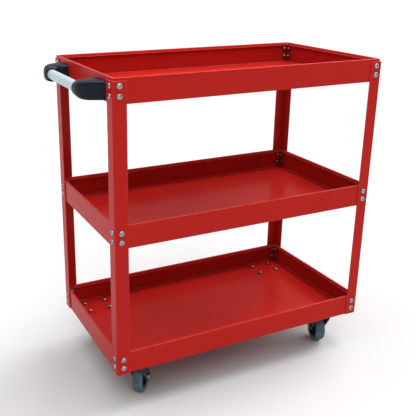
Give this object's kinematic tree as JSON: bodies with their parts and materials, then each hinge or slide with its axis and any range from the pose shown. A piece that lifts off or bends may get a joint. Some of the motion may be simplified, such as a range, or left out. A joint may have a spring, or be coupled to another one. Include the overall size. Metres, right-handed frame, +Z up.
{
  "type": "rolling tool trolley",
  "caption": "Rolling tool trolley: open steel trays one above another on angle posts, a push handle at one end and swivel casters below.",
  "frame": {"origin": "on the floor, under the middle of the overall box", "axes": "+X along the trolley away from the handle, +Y across it towards the rear side, +Z up"},
  "size_m": [0.7143, 0.3662, 0.75],
  "materials": {
    "red_powder_coat": "semi-gloss powder coat",
    "zinc_plate": "bright zinc plate, slightly dull",
    "black_plastic": "fine-grained moulded",
    "grey_tube": "satin light grey",
    "grey_rubber": "matt, ribbed",
    "black_steel": "semi-gloss black",
    "hub_plastic": "moulded"
  },
  "bodies": {
    "root": {"bottom_tray": "red_powder_coat", "middle_tray": "red_powder_coat", "top_tray": "red_powder_coat", "post_front_left": "red_powder_coat", "post_front_right": "red_powder_coat", "post_rear_left": "red_powder_coat", "post_rear_right": "red_powder_coat", "post_screw_face_front_left": "zinc_plate", "post_screw_face_front_right": "zinc_plate", "post_screw_face_rear_left": "zinc_plate", "post_screw_face_rear_right": "zinc_plate", "post_screw_side_front_right": "zinc_plate", "post_screw_side_rear_right": "zinc_plate", "handle_tube": "grey_tube", "handle_bracket_front": "black_plastic", "handle_bracket_rear": "black_plastic", "caster_plate_front_left": "zinc_plate", "caster_kingpin_front_left": "zinc_plate", "caster_bolt_front_left_1": "zinc_plate", "caster_bolt_front_left_2": "zinc_plate", "caster_bolt_front_left_3": "zinc_plate", "caster_bolt_front_left_4": "zinc_plate", "caster_plate_front_right": "zinc_plate", "caster_kingpin_front_right": "zinc_plate", "caster_bolt_front_right_1": "zinc_plate", "caster_bolt_front_right_2": "zinc_plate", "caster_bolt_front_right_3": "zinc_plate", "caster_bolt_front_right_4": "zinc_plate", "caster_plate_rear_left": "zinc_plate", "caster_kingpin_rear_left": "zinc_plate", "caster_bolt_rear_left_1": "zinc_plate", "caster_bolt_rear_left_2": "zinc_plate", "caster_bolt_rear_left_3": "zinc_plate", "caster_bolt_rear_left_4": "zinc_plate", "caster_plate_rear_right": "zinc_plate", "caster_kingpin_rear_right": "zinc_plate", "caster_bolt_rear_right_1": "zinc_plate", "caster_bolt_rear_right_2": "zinc_plate", "caster_bolt_rear_right_3": "zinc_plate", "caster_bolt_rear_right_4": "zinc_plate"},
    "swivel_front_left": {"caster_fork_front_left": "black_steel", "caster_race_front_left": "zinc_plate", "caster_axle_front_left": "zinc_plate"},
    "wheel_front_left": {"caster_hub_front_left": "hub_plastic", "caster_tyre_front_left": "grey_rubber"},
    "swivel_front_right": {"caster_fork_front_right": "black_steel", "caster_race_front_right": "zinc_plate", "caster_axle_front_right": "zinc_plate"},
    "wheel_front_right": {"caster_hub_front_right": "hub_plastic", "caster_tyre_front_right": "grey_rubber"},
    "swivel_rear_left": {"caster_fork_rear_left": "black_steel", "caster_race_rear_left": "zinc_plate", "caster_axle_rear_left": "zinc_plate"},
    "wheel_rear_left": {"caster_hub_rear_left": "hub_plastic", "caster_tyre_rear_left": "grey_rubber"},
    "swivel_rear_right": {"caster_fork_rear_right": "black_steel", "caster_race_rear_right": "zinc_plate", "caster_axle_rear_right": "zinc_plate"},
    "wheel_rear_right": {"caster_hub_rear_right": "hub_plastic", "caster_tyre_rear_right": "grey_rubber"}
  },
  "joints": [
    {"name": "swivel_turn_front_left", "type": "hinge", "parent": "root", "child": "swivel_front_left", "pos_m": [-0.2369, -0.132, 0.1], "axis": [0, 0, 1], "continuous": true},
    {"name": "wheel_spin_front_left", "type": "hinge", "parent": "swivel_front_left", "child": "wheel_front_left", "pos_m": [-0.22019, -0.11208, 0.0375], "axis": [0.766, -0.6428, 0], "continuous": true},
    {"name": "swivel_turn_front_right", "type": "hinge", "parent": "root", "child": "swivel_front_right", "pos_m": [0.2851, -0.132, 0.1], "axis": [0, 0, 1], "continuous": true},
    {"name": "wheel_spin_front_right", "type": "hinge", "parent": "swivel_front_right", "child": "wheel_front_right", "pos_m": [0.29313, -0.10727, 0.0375], "axis": [0.9511, -0.309, 0], "continuous": true},
    {"name": "swivel_turn_rear_left", "type": "hinge", "parent": "root", "child": "swivel_rear_left", "pos_m": [-0.2369, 0.132, 0.1], "axis": [0, 0, 1], "continuous": true},
    {"name": "wheel_spin_rear_left", "type": "hinge", "parent": "swivel_rear_left", "child": "wheel_rear_left", "pos_m": [-0.21353, 0.1434, 0.0375], "axis": [0.4384, -0.8988, 0], "continuous": true},
    {"name": "swivel_turn_rear_right", "type": "hinge", "parent": "root", "child": "swivel_rear_right", "pos_m": [0.2851, 0.132, 0.1], "axis": [0, 0, 1], "continuous": true},
    {"name": "wheel_spin_rear_right", "type": "hinge", "parent": "swivel_rear_right", "child": "wheel_rear_right", "pos_m": [0.30715, 0.14578, 0.0375], "axis": [0.5299, -0.848, 0], "continuous": true}
  ]
}
